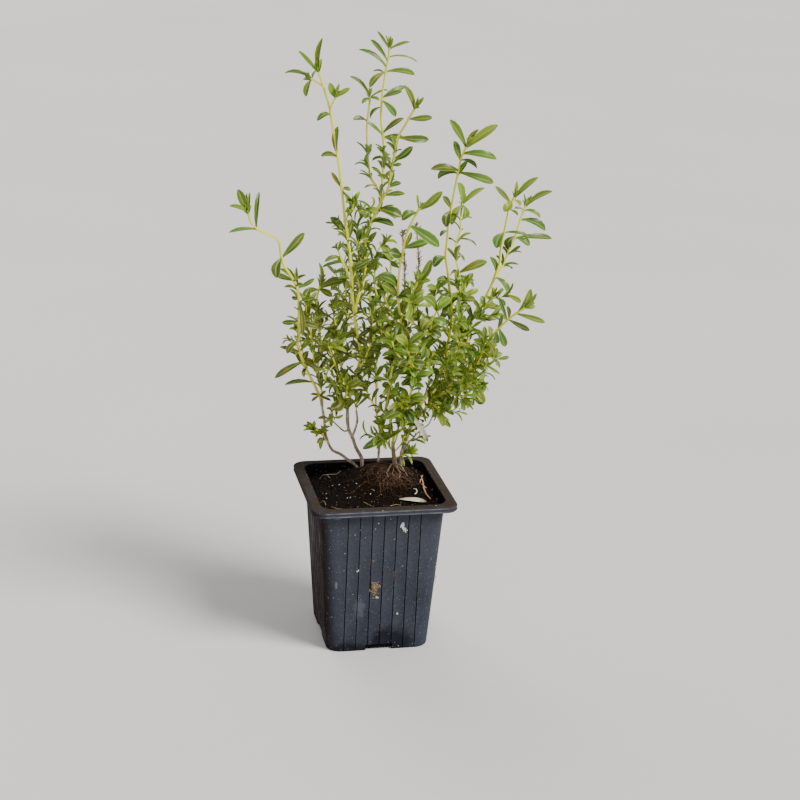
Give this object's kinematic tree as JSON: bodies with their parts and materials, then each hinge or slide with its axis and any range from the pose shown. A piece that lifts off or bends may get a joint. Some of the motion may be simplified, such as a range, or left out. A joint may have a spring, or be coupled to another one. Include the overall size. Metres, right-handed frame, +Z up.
{
  "type": "potted savory",
  "caption": "Young savory herb with branching leafy shoots, standing in a square tapered plastic nursery pot filled with soil.",
  "frame": {"origin": "centre of the pot's flat foot, on the surface that it stands on", "axes": "+Z up along the pot's axis, -Y towards the viewer of the pot's front side, +X to that viewer's right"},
  "size_m": [0.22, 0.1201, 0.378],
  "materials": {
    "pot_plastic": "dusty dark blue-grey, slightly glossy thin moulded plastic",
    "soil": "moist dark peat compost",
    "wood": "brown rough bark",
    "leaf": "fresh green, satin",
    "dry_stalk": "dry brown, matte",
    "pale_leaf": "withered, pale and matte"
  },
  "bodies": {
    "root": {"pot": "pot_plastic", "soil": "soil", "wood_left": "wood", "wood_creeping": "wood", "wood_thin": "wood", "wood_clump": "wood", "wood_right": "wood", "twig_right": "wood", "shoot_left_tall": "leaf", "shoot_left_arching": "leaf", "shoot_left_upright": "leaf", "shoot_left_fine": "leaf", "shoot_left_low": "leaf", "shoot_left_front": "leaf", "shoot_left_inner": "leaf", "bud_left": "leaf", "shoot_centre_tall": "leaf", "shoot_centre_back": "leaf", "shoot_centre_right": "leaf", "shoot_centre_fine": "leaf", "shoot_middle": "leaf", "shoot_front": "leaf", "shoot_back": "leaf", "tuft_base": "leaf", "shoot_right_tall": "leaf", "shoot_right_side": "leaf", "shoot_right_inner": "leaf", "shoot_right_outer": "leaf", "shoot_right_outer_side": "leaf", "shoot_right_leaning": "leaf", "shoot_right_low_back": "leaf", "shoot_right_low_front": "leaf", "shoot_right_low": "leaf", "tuft_right": "leaf", "dry_spike_left": "dry_stalk", "dry_spike_right": "dry_stalk", "fallen_twig": "dry_stalk", "withered_leaf": "pale_leaf", "fallen_leaf": "pale_leaf"}
  },
  "joints": []
}
